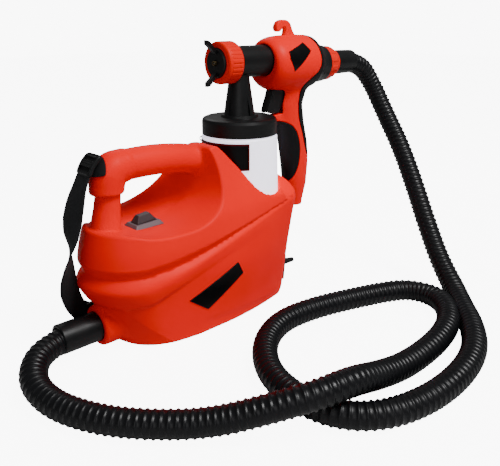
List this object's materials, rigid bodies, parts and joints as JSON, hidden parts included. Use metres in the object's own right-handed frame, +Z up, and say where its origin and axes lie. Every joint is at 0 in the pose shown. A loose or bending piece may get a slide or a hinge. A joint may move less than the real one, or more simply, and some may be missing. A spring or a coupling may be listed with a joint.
{
  "type": "turbine paint sprayer",
  "caption": "Floor paint sprayer: a blower base with a carrying handle and cradle, a ribbed air hose and a spray gun with a paint cup under its barrel.",
  "frame": {"origin": "on the floor under the middle of the machine, counted without the hose and the strap", "axes": "+X from the hose outlet towards the gun's hose end, +Y to the far side of the base, +Z up"},
  "size_m": [0.6591, 0.428, 0.3793],
  "materials": {
    "red_plastic": "satin",
    "bright_red_plastic": "gloss",
    "black_plastic": "satin",
    "black_rubber": "matt",
    "soft_black": "matt",
    "clear_white_plastic": "translucent satin",
    "white_plastic": "satin",
    "grey_plastic": "satin",
    "steel": "satin",
    "laminated_steel": "varnished",
    "brass": "machined",
    "foam": "open foam",
    "webbing": "woven",
    "carbon": "matt",
    "plate_black": "gloss"
  },
  "bodies": {
    "base": {"housing_near": "red_plastic", "housing_far": "red_plastic", "housing_screws": "steel", "rubber_feet": "black_rubber", "base_plates": "plate_black", "switch_frame": "black_plastic", "switch_body": "black_plastic", "turbine_case": "white_plastic", "turbine_cover": "white_plastic", "outlet_duct": "black_rubber", "diffuser_plate": "white_plastic", "front_bearing": "steel", "rear_bearing": "steel", "front_bearing_carrier": "white_plastic", "stator": "laminated_steel", "motor_end_frame": "white_plastic", "carbon_brushes": "carbon", "front_rubber_mount": "black_rubber", "rear_rubber_mount": "black_rubber", "rear_panel": "black_plastic", "filter_foam": "foam", "cord_gland": "black_rubber", "base_hose_cuff": "black_plastic", "air_hose": "black_plastic", "carrying_strap": "webbing", "strap_loop": "webbing", "strap_buckle": "black_plastic", "strap_anchor": "black_plastic"},
    "rotor": {"motor_shaft": "steel", "front_fan": "white_plastic", "rear_fan": "white_plastic", "fan_nut": "steel", "armature": "laminated_steel"},
    "rocker": {"switch_rocker": "grey_plastic"},
    "gun": {"spray_barrel": "black_plastic", "needle_packing": "white_plastic", "fluid_nozzle": "brass", "cup_lid": "black_plastic", "lid_gasket": "black_rubber", "pickup_tube": "white_plastic", "gun_body_near": "red_plastic", "gun_body_far": "red_plastic", "gun_screws": "steel", "grip_pad": "soft_black", "grip_back_strip": "soft_black", "gun_plates": "plate_black", "hanging_hook": "red_plastic", "tail_collar": "black_plastic", "hose_connector": "black_plastic", "gun_hose_cuff": "black_plastic", "trigger_pin": "steel", "needle_spring": "steel"},
    "cup": {"paint_container": "clear_white_plastic", "container_plate": "plate_black"},
    "cap": {"air_cap": "black_plastic"},
    "nut": {"lock_nut": "bright_red_plastic"},
    "swivel": {"swivel_ring": "bright_red_plastic"},
    "trigger_lever": {"trigger": "black_plastic"},
    "needle_rod": {"needle": "steel"}
  },
  "joints": [
    {"name": "fan_spin", "type": "hinge", "parent": "base", "child": "rotor", "pos_m": [-0.089, 0, 0.056], "axis": [1, 0, 0], "continuous": true},
    {"name": "power_switch", "type": "hinge", "parent": "base", "child": "rocker", "pos_m": [-0.149, 0, 0.145], "axis": [0, 1, 0], "range_deg": [0, 12]},
    {"name": "gun_lift", "type": "slide", "parent": "base", "child": "gun", "axis": [0, 0, 1], "range_m": [0, 0.15], "deforming": ["air_hose"]},
    {"name": "trigger_pull", "type": "hinge", "parent": "gun", "child": "trigger_lever", "pos_m": [0.085, 0, 0.344], "axis": [0, -1, 0], "range_deg": [0, 10], "stiffness_Nm_per_rad": 2, "springref_deg": -11.46},
    {"name": "needle_draw", "type": "slide", "parent": "gun", "child": "needle_rod", "axis": [1, 0, 0], "range_m": [0, 0.0035], "deforming": ["needle_spring"]},
    {"name": "air_cap_turn", "type": "hinge", "parent": "gun", "child": "cap", "pos_m": [-0.027, 0, 0.326], "axis": [1, 0, 0], "range_deg": [-90, 90]},
    {"name": "lock_nut_turn", "type": "hinge", "parent": "gun", "child": "nut", "pos_m": [-0.015, 0, 0.326], "axis": [1, 0, 0], "continuous": true},
    {"name": "cup_turn", "type": "hinge", "parent": "gun", "child": "cup", "pos_m": [0.011, 0, 0.2], "axis": [0, 0, 1], "range_deg": [0, 90]},
    {"name": "swivel_turn", "type": "hinge", "parent": "gun", "child": "swivel", "pos_m": [0.197, 0, 0.317], "axis": [1, 0, 0], "continuous": true}
  ],
  "couplings": [
    {"joint": "needle_draw", "follows": "trigger_pull", "m_per_rad": 0.018}
  ]
}
